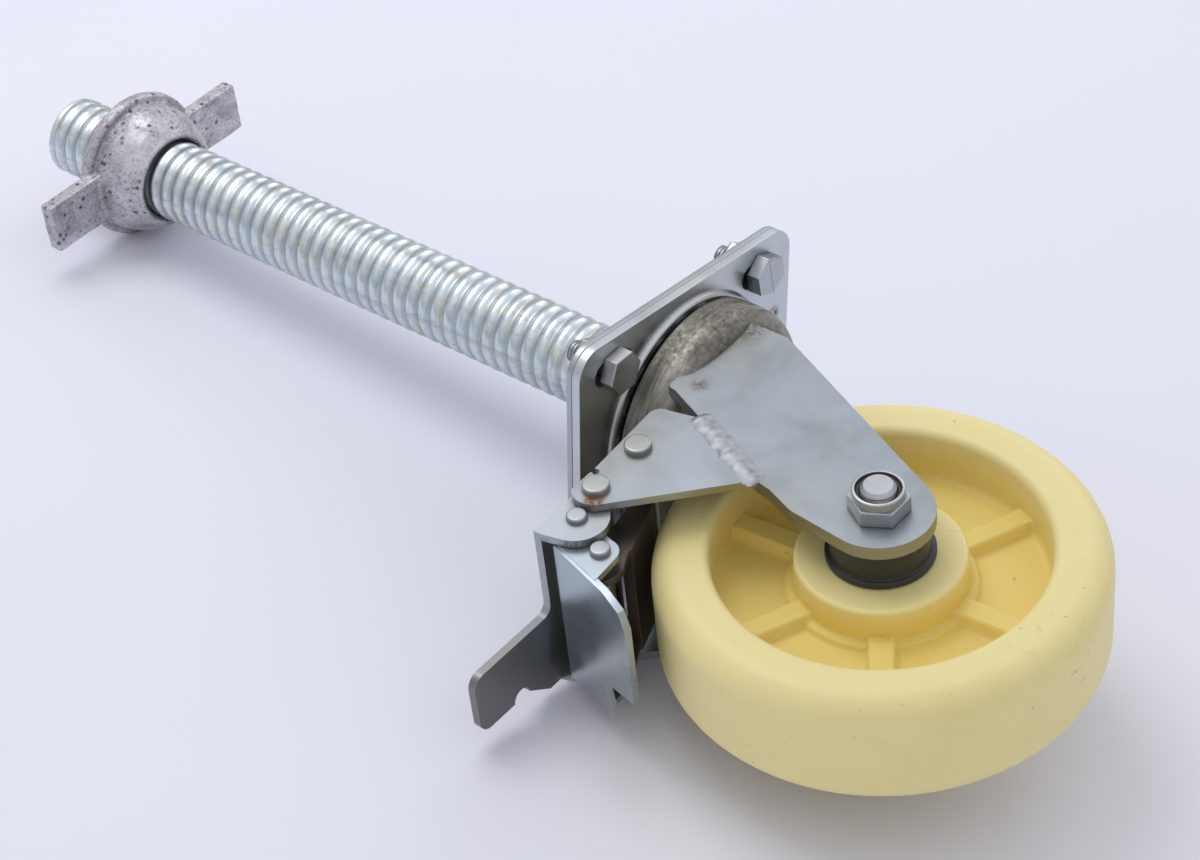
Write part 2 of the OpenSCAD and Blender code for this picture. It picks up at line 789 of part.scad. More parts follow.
// Side arm of the shoe, from its pivot to the toe pin
module shoe_arm() {
    difference() {
        union() {
            translate(shoe_pin) circle(shoe_ear_r);
            translate(toe_pin_c) circle(shoe_ear_r);
            polygon(concat([shoe_pin + [1, shoe_ear_r - 0.2]], shoe_arm_upper,
                [toe_pin_c + [1, shoe_ear_r - 0.1], toe_pin_c + [-3, 0.2 - shoe_ear_r]], shoe_arm_lower,
                [shoe_pin - [4, 5]]));
        }
        translate(shoe_pin) circle(pin_r + pin_play);
        translate(toe_pin_c) circle(small_pin_r + toe_slack);
    }
}

// Flat pad, drawn where it meets the tread and swung back to its released place
module shoe_pad() {
    translate(shoe_pin) rotate(shoe_travel) translate(-shoe_pin) translate(axle_c) rotate(pad_at)
        translate([wheel_r + pad_clear, -pad_l / 2]) square([pad_t, pad_l]);
}

// Brake shoe: a flat pad carried by two side arms
module brake_shoe() {
    color(dull_zinc) under_plate() {
        side_plate(-arm_out, arm_out) shoe_pad();
        side_plate(arm_out - arm_t, arm_out) shoe_arm();
        side_plate(-arm_out, arm_t - arm_out) shoe_arm();
    }
}

// Section of the nut: a dome under a stepped-out rim, with a wider mouth at the foot of the bore
module nut_section() {
    rim_r = nut_rim_d / 2;
    bore = stem_r + nut_play;
    edge_r = 1.5;
    mouth = 1.6;
    collar_r = bore + 2.6;
    collar_h = 4;
    rim_foot = nut_h - nut_rim_t;
    rim_step = 3.3;
    dome_r = rim_r - rim_step;
    difference() {
        union() {
            intersection() {
                translate([0, rim_foot]) circle(dome_r);
                translate([bore, 0]) square([dome_r - bore, nut_h - edge_r]);
            }
            translate([bore, 0]) square([collar_r - bore, collar_h]);
            translate([bore, rim_foot]) square([rim_r - bore - edge_r, nut_h - rim_foot]);
            translate([bore, rim_foot + edge_r]) square([rim_r - bore, nut_h - rim_foot - 2 * edge_r]);
            for (z = [rim_foot + edge_r, nut_h - edge_r]) translate([rim_r - edge_r, z]) circle(edge_r);
        }
        polygon([[bore - 1, -1], [bore + mouth + 1, -1], [bore - 1, mouth + 1]]);
    }
}

// Cast wing nut with two flat wings across the stem
module wing_nut() {
    wing_z = nut_h - nut_rim_t;
    tip_r = 1.2;
    color(cast_grey) translate([0, 0, nut_seat]) difference() {
        union() {
            rotate_extrude() nut_section();
            translate([0, 0, wing_z - wing_t / 2]) linear_extrude(wing_t)
                rounded_rect(wing_span, wing_w, tip_r);
        }
        translate([0, 0, -1]) cylinder(r = stem_r + nut_play, h = nut_h + 2);
    }
}

threaded_stem();
stem_weld();
stem_plate();
castor_plate();
plate_bolts();
plate_nuts();
kingpin();
upper_balls();
lower_balls();
lower_race();
fork();
bracket_near();
bracket_far();
weld_near();
weld_far();
shoe_pivot();
lever_pivot();
axle_bolt();
axle_nut();
nut_insert();
bearing_spacer();
dust_cap_near();
dust_cap_far();
inner_ring_near();
inner_ring_far();
wheel();
outer_ring_near();
outer_ring_far();
bearing_balls_near();
bearing_balls_far();
brake_lever();
link_pivot();
brake_link();
toe_pin();
brake_shoe();
wing_nut();
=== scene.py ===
import json
import math

import bmesh
import bpy
from mathutils import Matrix, Vector, noise


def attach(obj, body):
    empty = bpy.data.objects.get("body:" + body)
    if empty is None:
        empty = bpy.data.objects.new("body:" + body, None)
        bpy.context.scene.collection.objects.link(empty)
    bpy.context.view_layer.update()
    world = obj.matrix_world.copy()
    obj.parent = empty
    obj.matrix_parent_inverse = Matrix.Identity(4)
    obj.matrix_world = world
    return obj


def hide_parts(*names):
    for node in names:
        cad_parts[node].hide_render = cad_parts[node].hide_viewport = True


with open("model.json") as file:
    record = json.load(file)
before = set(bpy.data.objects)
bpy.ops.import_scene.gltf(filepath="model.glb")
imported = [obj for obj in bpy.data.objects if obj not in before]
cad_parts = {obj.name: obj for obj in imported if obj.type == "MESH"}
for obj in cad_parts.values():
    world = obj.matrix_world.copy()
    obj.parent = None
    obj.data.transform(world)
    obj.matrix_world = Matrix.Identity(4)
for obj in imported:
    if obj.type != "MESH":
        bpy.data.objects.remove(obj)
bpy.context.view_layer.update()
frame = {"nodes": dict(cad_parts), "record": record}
NODES = frame["nodes"]
BODY_OF = {n: b for b, names in frame["record"]["behaviour"]["bodies"].items() for n in names}
MM = 0.001

# Sizes of the part in millimetres. Heights of fork and brake start at FACE_Z, the castor plate's lower face
FACE_Z = -6.0
STEM_R, STEM_LEN, PITCH = 16.1, 317.0, 6.35
LEG_OUT, LEG_IN = 36.7, 31.7
LEVER_OUT, LINK_OUT = 33.4, 30.1
AXLE, AXLE_R, AXLE_AF = (38.4, -111.2), 6.0, 18.0
PLATE_TURN, BOLT_X, BOLT_Y = 8.0, 41.0, 37.75
BOLT_R, BOLT_AF = 4.0, 14.0
SEAM_TOP, SEAM_FOOT = (34.3, -35.6), (49.2, -70.0)
SHOE_PIN, LEVER_PIN = (57.7, -27.7), (80.9, -28.6)
LINK_PIN, TOE_PIN = (93.0, -30.1), (98.5, -44.0)
# Radius and height of a rivet's head
BIG_HEAD, SMALL_HEAD = (4.7, 2.4), (3.5, 2.0)
AXLE_PLACE = Matrix(((1, 0, 0, AXLE[0]), (0, 0, 1, 0), (0, -1, 0, AXLE[1] + FACE_Z), (0, 0, 0, 1)))


# Mesh helpers


def piece(name, bm, angle=35):
    """A new object from a bmesh in millimetres, smooth apart from edges sharper than the angle."""
    bmesh.ops.recalc_face_normals(bm, faces=bm.faces)
    bmesh.ops.scale(bm, vec=(MM, MM, MM), verts=bm.verts)
    me = bpy.data.meshes.new(name)
    bm.to_mesh(me)
    bm.free()
    me.polygons.foreach_set("use_smooth", [True] * len(me.polygons))
    me.set_sharp_from_angle(angle=math.radians(angle))
    obj = bpy.data.objects.new(name, me)
    bpy.context.scene.collection.objects.link(obj)
    return obj


def even(obj):
    """Keeps large flat faces evenly shaded next to their rounded edges."""
    flat = obj.modifiers.new("flat", "WEIGHTED_NORMAL")
    flat.keep_sharp = True
    return obj


def stand_for(obj, material, *names):
    """The object takes the place of CAD nodes of one body."""
    obj.data.materials.clear()
    obj.data.materials.append(material)
    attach(obj, BODY_OF[names[0]])
    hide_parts(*names)


def rounded(points, steps=6, closed=False):
    """A line through (x, y, radius) corners, each rounded to its radius."""
    out, n = [], len(points)
    for i, (x, y, r) in enumerate(points):
        if r <= 0 or (not closed and i in (0, n - 1)):
            out.append((x, y))
            continue
        p = Vector((x, y))
        a = Vector(points[i - 1][:2]) - p
        b = Vector(points[(i + 1) % n][:2]) - p
        half = a.angle(b) / 2
        d = min(r / math.tan(half), 0.499 * a.length, 0.499 * b.length)
        r = d * math.tan(half)
        c = p + (a.normalized() + b.normalized()).normalized() * (r / math.sin(half))
        s, e = p + a.normalized() * d - c, p + b.normalized() * d - c
        t0 = math.atan2(s.y, s.x)
        turn = (math.atan2(e.y, e.x) - t0 + math.pi) % (2 * math.pi) - math.pi
        for k in range(steps + 1):
            t = t0 + turn * k / steps
            out.append((c.x + r * math.cos(t), c.y + r * math.sin(t)))
    return out


def spaced(line, gap):
    """The line with extra points, so that none are further apart than the gap."""
    out = [line[0]]
    for a, b in zip(line, line[1:]):
        n = max(1, math.ceil(math.dist(a, b) / gap))
        out += [(a[0] + (b[0] - a[0]) * k / n, a[1] + (b[1] - a[1]) * k / n) for k in range(1, n + 1)]
    return out


def lathe(bm, profile, place, segments=96, closed=False):
    """Turns (radius, height) points about the local z axis."""
    rings = []
    for r, h in profile:
        if r < 1e-6:
            rings.append([bm.verts.new(place @ Vector((0, 0, h)))])
        else:
            rings.append([bm.verts.new(place @ Vector((r * math.cos(a), r * math.sin(a), h)))
                          for a in (2 * math.pi * k / segments for k in range(segments))])
    pairs = list(zip(rings, rings[1:])) + ([(rings[-1], rings[0])] if closed else [])
    for a, b in pairs:
        for k in range(segments):
            m = (k + 1) % segments
            corners = [a[k % len(a)], a[m % len(a)], b[m % len(b)], b[k % len(b)]]
            corners = [v for i, v in enumerate(corners) if v not in corners[:i]]
            if len(corners) > 2:
                bm.faces.new(corners)


def slab(bm, outline, low, high, place, bevel):
    """A flat plate with rounded rims, from an outline in the local xy plane."""
    base = [bm.verts.new(place @ Vector((x, y, low))) for x, y in outline]
    top = [bm.verts.new(place @ Vector((x, y, high))) for x, y in outline]
    bm.faces.new(base[::-1])
    bm.faces.new(top)
    n = len(outline)
    for k in range(n):
        bm.faces.new((base[k], base[(k + 1) % n], top[(k + 1) % n], top[k]))
    rims = [bm.edges.get((ring[k], ring[(k + 1) % n])) for ring in (base, top) for k in range(n)]
    bmesh.ops.bevel(bm, geom=rims, offset=bevel, segments=3, profile=0.5, affect="EDGES")


def dress(node, width):
    """A copy of a CAD node with rounded edges."""
    sharp_from, flat_below = math.radians(32), math.radians(0.4)
    bm = bmesh.new()
    bm.from_mesh(NODES[node].data)
    bmesh.ops.scale(bm, vec=(1000, 1000, 1000), verts=bm.verts)
    bmesh.ops.remove_doubles(bm, verts=bm.verts, dist=0.002)
    bmesh.ops.dissolve_limit(bm, angle_limit=flat_below, verts=bm.verts, edges=bm.edges)
    sharp = [e for e in bm.edges if len(e.link_faces) == 2 and e.calc_face_angle(0) > sharp_from]
    bmesh.ops.bevel(bm, geom=sharp, offset=width, segments=2, profile=0.5, affect="EDGES",
                    clamp_overlap=True)
    return even(piece(node + "_skin", bm, 40))


def around(p, scale, seed=0.0):
    """Smooth noise at a point times the scale, from about -1 to 1."""
    return noise.noise(Vector((p[0] * scale + seed, p[1] * scale - seed, p[2] * scale + 2 * seed)))


# Material helpers


class Look:
    """A material's node tree with short calls. Object coordinates are the part's own frame in metres."""

    def __init__(self, name):
        self.mat = bpy.data.materials.new(name)
        self.mat.use_nodes = True
        self.tree = self.mat.node_tree
        self.tree.nodes.clear()
        self.bsdf = self.add("ShaderNodeBsdfPrincipled")
        self.out = self.add("ShaderNodeOutputMaterial")
        self.join(self.bsdf.outputs[0], self.out.inputs["Surface"])
        self.place = self.add("ShaderNodeTexCoord").outputs["Object"]

    def add(self, kind, **props):
        node = self.tree.nodes.new(kind)
        for k, v in props.items():
            setattr(node, k, v)
        return node

    def join(self, a, b):
        self.tree.links.new(a, b)

    def put(self, socket, value):
        if isinstance(value, bpy.types.NodeSocket):
            self.join(value, socket)
        elif isinstance(value, (tuple, list)) and socket.type == "RGBA":
            socket.default_value = (*value[:3], 1)
        else:
            socket.default_value = value

    def set(self, **values):
        for k, v in values.items():
            self.put(self.bsdf.inputs[k.replace("_", " ")], v)

    def stretched(self, scale):
        node = self.add("ShaderNodeMapping")
        self.join(self.place, node.inputs["Vector"])
        node.inputs["Scale"].default_value = scale
        return node.outputs[0]

    def noise(self, scale, detail=4.0, rough=0.55, stretch=None, bend=0.0):
        node = self.add("ShaderNodeTexNoise")
        self.join(self.stretched(stretch) if stretch else self.place, node.inputs["Vector"])
        for k, v in (("Scale", scale), ("Detail", detail), ("Roughness", rough), ("Distortion", bend)):
            node.inputs[k].default_value = v
        return node.outputs["Fac"]

    def cells(self, scale):
        node = self.add("ShaderNodeTexVoronoi", feature="F1")
        self.join(self.place, node.inputs["Vector"])
        node.inputs["Scale"].default_value = scale
        return node.outputs["Distance"]

    def ramp(self, fac, *stops):
        node = self.add("ShaderNodeValToRGB")
        marks = node.color_ramp.elements
        while len(marks) < len(stops):
            marks.new(0.5)
        for mark, (at, colour) in zip(marks, stops):
            mark.position = at
            mark.color = (*colour, 1) if isinstance(colour, tuple) else (colour, colour, colour, 1)
        self.join(fac, node.inputs["Fac"])
        return node.outputs["Color"]

    def span(self, value, low, high, a=0.0, b=1.0):
        node = self.add("ShaderNodeMapRange", interpolation_type="SMOOTHSTEP")
        self.put(node.inputs["Value"], value)
        for k, v in (("From Min", low), ("From Max", high), ("To Min", a), ("To Max", b)):
            node.inputs[k].default_value = v
        return node.outputs[0]

    def calc(self, operation, a, b=0.0):
        node = self.add("ShaderNodeMath", operation=operation)
        self.put(node.inputs[0], a)
        self.put(node.inputs[1], b)
        return node.outputs[0]

    def mix(self, fac, a, b, blend="MIX"):
        node = self.add("ShaderNodeMix", data_type="RGBA", blend_type=blend)
        self.put(node.inputs[0], fac)
        self.put(node.inputs[6], a)
        self.put(node.inputs[7], b)
        return node.outputs[2]

    def near(self, point, inner, outer):
        """1 within the inner distance of a point of the frame in millimetres, 0 past the outer one."""
        node = self.add("ShaderNodeVectorMath", operation="DISTANCE")
        self.join(self.place, node.inputs[0])
        node.inputs[1].default_value = [v * MM for v in point]
        return self.span(node.outputs["Value"], inner * MM, outer * MM, 1.0, 0.0)

    def axis(self, name):
        node = self.add("ShaderNodeSeparateXYZ")
        self.join(self.place, node.inputs[0])
        return node.outputs[name]

    def corner_shade(self, distance):
        """An occlusion mask for painted shade: 1 in the open, lower in corners where shade falls."""
        node = self.add("ShaderNodeAmbientOcclusion", samples=6, only_local=False)
        node.inputs["Distance"].default_value = distance * MM
        return node.outputs["AO"]

    def bump(self, *layers):
        normal = None
        for height, strength, distance in layers:
            node = self.add("ShaderNodeBump")
            node.inputs["Strength"].default_value = strength
            node.inputs["Distance"].default_value = distance * MM
            self.join(height, node.inputs["Height"])
            if normal is not None:
                self.join(normal, node.inputs["Normal"])
            normal = node.outputs[0]
        self.join(normal, self.bsdf.inputs["Normal"])


def zinc(name, tone, rough, shade_and_grime, spots=(), shade_past=None):
    """Bright zinc plating: faint clouds, a hint of yellow and blue, rub marks, painted shade in corners with
    dark specks, and stains.
    A stain is a point, an inner and an outer distance and a colour.
    The last argument is the place along x past which the piece is painted dark, as shade."""
    k = Look(name)
    cloud = k.noise(38, 6, 0.62, bend=0.4)
    fine = k.noise(1400, 3, 0.6)
    rub = k.noise(260, 5, 0.6, stretch=(1, 1, 0.1))
    dull, bright, rubbed = [tuple(min(1.0, c * f) for c in tone) for f in (0.88, 1.08, 1.25)]
    yellow, plain, blue = (1.0, 0.98, 0.92), (1.0, 1.0, 1.0), (0.95, 0.99, 1.03)
    colour = k.ramp(cloud, (0.3, dull), (0.52, tone), (0.75, bright))
    tint = k.ramp(k.noise(19, 3), (0.38, yellow), (0.5, plain), (0.64, blue))
    colour = k.mix(1.0, colour, tint, "MULTIPLY")
    colour = k.mix(k.span(rub, 0.58, 0.76, 0.0, 0.25), colour, rubbed)
    if shade_past is not None:
        # Painted shade: past this place the colour turns dark grey.
        far = k.span(k.axis("X"), (shade_past - 2) * MM, (shade_past + 2) * MM, 0.0, 0.6)
        colour = k.mix(far, colour, (0.10, 0.105, 0.11))
    # Painted shade: corners found by occlusion are darkened towards brown, and dark specks are added to the
    # same mask.
    shade_and_dirt = k.calc("MULTIPLY", k.span(k.corner_shade(5), 0.3, 0.85, 1.0, 0.0), shade_and_grime)
    shade_and_dirt = k.calc("MULTIPLY", shade_and_dirt, k.span(k.noise(170, 5, 0.7), 0.3, 0.6, 0.4, 1.0))
    specks = k.span(k.noise(520, 4, 0.7), 0.68, 0.76, 0.0, 0.5 * shade_and_grime)
    shade_and_dirt = k.calc("MAXIMUM", shade_and_dirt, specks)
    colour = k.mix(shade_and_dirt, colour, (0.11, 0.095, 0.075))
    rough_here = k.span(cloud, 0.3, 0.75, rough - 0.05, rough + 0.08)
    rough_here = k.calc("ADD", rough_here, k.calc("MULTIPLY", shade_and_dirt, 0.28))
    metal = k.calc("SUBTRACT", 1.0, k.calc("MULTIPLY", shade_and_dirt, 0.55))
    for point, inner, outer, stain in spots:
        here = k.calc("MULTIPLY", k.near(point, inner, outer), k.span(k.noise(600, 5, 0.7), 0.36, 0.56))
        colour = k.mix(here, colour, stain)
        metal = k.calc("MULTIPLY", metal, k.calc("SUBTRACT", 1.0, here))
        rough_here = k.calc("MAXIMUM", rough_here, k.calc("MULTIPLY", here, 0.8))
    k.set(Base_Color=colour, Metallic=metal, Roughness=rough_here)
    k.bump((cloud, 0.06, 0.6), (fine, 0.07, 0.05))
    return k.mat


def crown_finish():
    """Dirty plating on the crown: rough specks where a leg joins it, greasy streaks round the rest, and
    painted shade in its corners.
    """
    k = Look("crown_zinc")
    grit = k.noise(480, 6, 0.7)
    streak = k.noise(160, 5, 0.65, stretch=(0.25, 0.25, 2.2), bend=0.4)
    rough_part = k.ramp(grit, (0.36, (0.06, 0.054, 0.044)), (0.48, (0.15, 0.14, 0.12)),
                        (0.60, (0.26, 0.25, 0.225)), (0.70, (0.46, 0.45, 0.42)))
    smooth_part = k.ramp(streak, (0.32, (0.09, 0.08, 0.06)), (0.5, (0.27, 0.255, 0.215)),
                         (0.7, (0.46, 0.445, 0.40)))
    at_leg = k.span(k.calc("ABSOLUTE", k.axis("X")), 14 * MM, 30 * MM, 0.55, 0.0)
    colour = k.mix(at_leg, smooth_part, rough_part)
    # Painted shade: occluded corners of the crown are darkened.
    colour = k.mix(k.span(k.corner_shade(6), 0.3, 0.9, 0.75, 0.0), colour, (0.05, 0.045, 0.035))
    k.set(Base_Color=colour, Metallic=0.7, Roughness=k.span(grit, 0.35, 0.7, 0.6, 0.34))
    k.bump((k.calc("MULTIPLY", grit, at_leg), 0.55, 0.7), (streak, 0.12, 0.3))
    return k.mat


def stem_finish():
    """Plated thread: roots painted darker than the crests as shade and made rougher, pale patches painted as
    highlights, rub marks along and round it, patches of yellow and blue.
    """
    k = Look("stem_zinc")
    flat = k.add("ShaderNodeVectorMath", operation="LENGTH")
    k.join(k.stretched((1, 1, 0)), flat.inputs[0])
    root = k.span(flat.outputs["Value"], (STEM_R - 1.1) * MM, (STEM_R - 0.3) * MM, 1.0, 0.0)
    cloud = k.noise(70, 5, 0.6, stretch=(1, 1, 0.5), bend=0.5)
    tint = k.ramp(k.noise(60, 5, 0.65, bend=1.6), (0.3, (0.66, 0.67, 0.53)), (0.45, (0.70, 0.75, 0.76)),
                  (0.55, (0.60, 0.71, 0.78)), (0.7, (0.75, 0.75, 0.62)))
    # Painted highlight: where the clouds are bright the colour turns pale.
    colour = k.mix(k.span(cloud, 0.4, 0.75, 0.0, 0.35), tint, (0.82, 0.87, 0.90))
    # Painted shade: the thread roots are darkened.
    colour = k.mix(k.calc("MULTIPLY", root, 0.4), colour, (0.20, 0.20, 0.175))
    streak = k.noise(210, 5, 0.65, stretch=(1, 1, 0.06))
    colour = k.mix(k.span(streak, 0.5, 0.7, 0.0, 0.45), colour, (0.30, 0.31, 0.29))
    lines = k.noise(60, 5, 0.7, stretch=(1, 1, 14))
    colour = k.mix(k.span(lines, 0.5, 0.64, 0.0, 0.4), colour, (0.36, 0.38, 0.35))
    speck = k.calc("MULTIPLY", k.span(k.noise(330, 4, 0.7), 0.66, 0.74), 0.8)
    colour = k.mix(speck, colour, (0.10, 0.09, 0.08))
    rough = k.calc("ADD", k.span(cloud, 0.3, 0.7, 0.22, 0.36), k.calc("MULTIPLY", root, 0.15))
    k.set(Base_Color=colour, Metallic=1.0, Roughness=rough)
    k.bump((k.noise(150, 4, 0.6, stretch=(1, 1, 2.5)), 0.25, 0.5), (k.noise(1300, 3), 0.08, 0.06))
    return k.mat


def weld_finish():
    """Clouded plating over a weld, with painted shade in its corners."""
    k = Look("weld_bead")
    cloud = k.noise(240, 5, 0.65)
    colour = k.ramp(cloud, (0.3, (0.24, 0.25, 0.26)), (0.55, (0.36, 0.38, 0.395)), (0.75, (0.45, 0.47, 0.49)))
    # Painted shade: occluded corners of the bead are darkened.
    shade_and_dirt = k.span(k.corner_shade(1.6), 0.4, 0.9, 0.35, 0.0)
    colour = k.mix(shade_and_dirt, colour, (0.14, 0.13, 0.11))
    k.set(Base_Color=colour, Metallic=1.0, Roughness=k.span(cloud, 0.3, 0.7, 0.42, 0.56))
    k.bump((cloud, 0.3, 0.25))
    return k.mat


def cast_finish():
    """Plated casting: mottled grey with a violet tint, dark pores, painted shade in corners and a painted
    highlight on the dome.
    """
    k = Look("cast_zinc")
    cloud = k.noise(75, 6, 0.68, bend=0.6)
    grain = k.noise(900, 4, 0.7)
    colour = k.ramp(cloud, (0.28, (0.33, 0.31, 0.34)), (0.5, (0.57, 0.55, 0.59)), (0.72, (0.76, 0.75, 0.79)))
    colour = k.mix(k.span(grain, 0.48, 0.64, 0.0, 0.55), colour, (0.12, 0.11, 0.118))
    pitted = k.span(k.noise(120, 3), 0.42, 0.54)
    pores = k.calc("MULTIPLY", k.span(k.cells(260), 0.12, 0.34, 1.0, 0.0), pitted)
    colour = k.mix(k.calc("MULTIPLY", pores, 0.9), colour, (0.05, 0.045, 0.05))
    # Painted highlight: a pale patch in the middle of the dome's face.
    dome_highlight = k.calc("MULTIPLY", k.near((14, 20, 262), 2, 12), k.span(cloud, 0.3, 0.6, 0.4, 1.0))
    colour = k.mix(k.calc("MULTIPLY", dome_highlight, 0.75), colour, (0.66, 0.65, 0.69))
    # Painted shade: occluded corners are darkened, broken up by the grain.
    shade_and_dirt = k.calc("MULTIPLY", k.span(k.corner_shade(6), 0.4, 0.95, 0.85, 0.0), k.span(grain, 0.35, 0.6, 0.4, 1.0))
    colour = k.mix(shade_and_dirt, colour, (0.10, 0.09, 0.09))
    k.set(Base_Color=colour, Metallic=0.55, Roughness=k.span(cloud, 0.3, 0.7, 0.52, 0.38))
    k.bump((cloud, 0.45, 0.9), (grain, 0.35, 0.18), (pores, -0.5, 0.35))
    return k.mat


def nylon_finish():
    """Cream nylon, a little see-through, a deeper yellow in the recess as painted shade, with scuffs on the
    tread.
    """
    k = Look("cream_nylon")
    cloud = k.noise(26, 4, 0.55, bend=0.5)
    colour = k.ramp(cloud, (0.3, (0.87, 0.745, 0.34)), (0.7, (0.90, 0.78, 0.39)))
    away = k.calc("ABSOLUTE", k.axis("Y"))
    recess_shade = k.span(away, 9 * MM, 20 * MM, 0.75, 0.0)
    out = k.add("ShaderNodeVectorMath", operation="DISTANCE")
    k.join(k.stretched((1, 0, 1)), out.inputs[0])
    out.inputs[1].default_value = (AXLE[0] * MM, 0, (AXLE[1] + FACE_Z) * MM)
    inside = k.span(out.outputs["Value"], 54 * MM, 57 * MM, 1.0, 0.0)
    # Painted shade: the recess floor inside the rim is a deeper, darker yellow.
    colour = k.mix(k.calc("MULTIPLY", recess_shade, inside), colour, (0.86, 0.66, 0.16))
    scratch = k.noise(120, 5, 0.7, stretch=(1, 5, 1), bend=1.0)
    marks = k.calc("MULTIPLY", k.near((40, 14, -192), 6, 26), k.span(scratch, 0.60, 0.70, 0.0, 0.7))
    colour = k.mix(marks, colour, (0.30, 0.24, 0.16))
    specks = k.span(k.noise(420, 2, 0.5), 0.735, 0.76, 0.0, 0.55)
    colour = k.mix(specks, colour, (0.40, 0.33, 0.20))
    k.set(Base_Color=colour, Roughness=k.span(cloud, 0.3, 0.7, 0.40, 0.5), IOR=1.5, Specular_IOR_Level=0.42,
          Subsurface_Weight=0.22, Subsurface_Radius=(1.0, 0.75, 0.25), Subsurface_Scale=0.004)
    k.bump((k.noise(45, 3, 0.5), 0.10, 1.2), (k.noise(1500, 3, 0.6), 0.06, 0.05), (scratch, 0.04, 0.2))
    return k.mat


def plastic_finish(name, tone, rough, dust):
    """Moulded plastic with patches of fine dust."""
    k = Look(name)
    cloud = k.noise(120, 5, 0.6)
    grain = k.noise(2200, 2, 0.5)
    colour = k.ramp(cloud, (0.3, tuple(c * 0.8 for c in tone)), (0.7, tuple(c * 1.2 for c in tone)))
    dusty = k.calc("MULTIPLY", k.span(k.noise(500, 5, 0.7), 0.45, 0.7), dust)
    colour = k.mix(dusty, colour, (0.30, 0.27, 0.22))
    k.set(Base_Color=colour, Roughness=k.span(cloud, 0.3, 0.7, rough - 0.08, rough + 0.1))
    k.bump((grain, 0.12, 0.05), (cloud, 0.06, 0.3))
    return k.mat


def ball_finish():
    """Polished steel under a film of grease."""
    k = Look("ball_steel")
    film = k.noise(300, 4, 0.6)
    colour = k.ramp(film, (0.3, (0.10, 0.09, 0.07)), (0.6, (0.30, 0.29, 0.27)))
    k.set(Base_Color=colour, Metallic=1.0, Roughness=k.span(film, 0.3, 0.7, 0.12, 0.3))
    k.bump((film, 0.05, 0.1))
    return k.mat


RUST, GRIME = (0.21, 0.085, 0.025), (0.15, 0.135, 0.115)
PLATE = zinc("plate_zinc", (0.58, 0.61, 0.625), 0.34, 0.4, [((-52, 8, -6), 1.0, 4.5, RUST)])
STEM_PLATE = zinc("stem_plate_zinc", (0.44, 0.465, 0.475), 0.36, 0.8)
FORK = zinc("fork_zinc", (0.335, 0.36, 0.38), 0.38, 0.45, [((-12, 37, -24), 3.0, 13.0, GRIME),
                                                            ((20.7, 37, -31), 0.0, 5.0, GRIME)])
CROWN = crown_finish()
BRACKET = zinc("bracket_zinc", (0.35, 0.38, 0.405), 0.35, 0.5, [((86, 37, -38), 1.8, 4.8, RUST)])
# The lever's foot tab, past x = 107 mm, is painted dark as shade.
LEVER = zinc("lever_zinc", (0.42, 0.44, 0.45), 0.38, 0.7, shade_past=107)
LINK = zinc("link_zinc", (0.46, 0.505, 0.535), 0.31, 0.45)
SHOE = zinc("shoe_steel", (0.15, 0.12, 0.095), 0.5, 0.8)
RIVET = zinc("rivet_zinc", (0.40, 0.415, 0.42), 0.36, 0.6, [((85.5, 37, -38), 1.0, 3.0, RUST)])
FASTENER = zinc("fastener_zinc", (0.48, 0.495, 0.50), 0.32, 0.6)
HIDDEN_STEEL = zinc("inner_steel", (0.36, 0.35, 0.32), 0.42, 0.8)
STEM = stem_finish()
WELD = weld_finish()
CAST = cast_finish()
NYLON = nylon_finish()
CAP = plastic_finish("cap_plastic", (0.022, 0.022, 0.025), 0.42, 0.05)
# The nylon lock ring is coloured near-black: painted shade for the shadowed gap round the bolt end.
SHADED_INSERT = plastic_finish("insert_nylon_painted_shade", (0.02, 0.02, 0.022), 0.45, 0.05)
BALLS = ball_finish()


# Threaded stem


def thread_stem():
    """A bar with a helical thread that fades out at both ends."""
    bm = bmesh.new()
    steps, around_n = 640, 84
    deepest, plain_foot, fade = 1.05, 1.5, 2.0
    tip_l, tip_inset = 1.2, 0.9
    rings = []
    for i in range(steps + 1):
        z = STEM_LEN * i / steps
        ring = []
        run = min(max((z - plain_foot) / fade, 0), 1) * min(max((STEM_LEN - tip_l - z) / fade, 0), 1)
        for k in range(around_n):
            a = 2 * math.pi * k / around_n
            t = z / PITCH - k / around_n
            depth = deepest * run * (0.5 - 0.5 * math.cos(2 * math.pi * t)) ** 1.3
            r = STEM_R - depth - tip_inset * max(0, (z - STEM_LEN + tip_l) / tip_l) ** 2
            ring.append(bm.verts.new((r * math.cos(a), r * math.sin(a), z)))
        rings.append(ring)
    for a, b in zip(rings, rings[1:]):
        for k in range(around_n):
            m = (k + 1) % around_n
            bm.faces.new((a[k], a[m], b[m], b[k]))
    bm.faces.new(rings[0][::-1])
    bm.faces.new(rings[-1])
    stand_for(piece("stem_thread", bm, 60), STEM, "threaded_stem")


# Weld beads


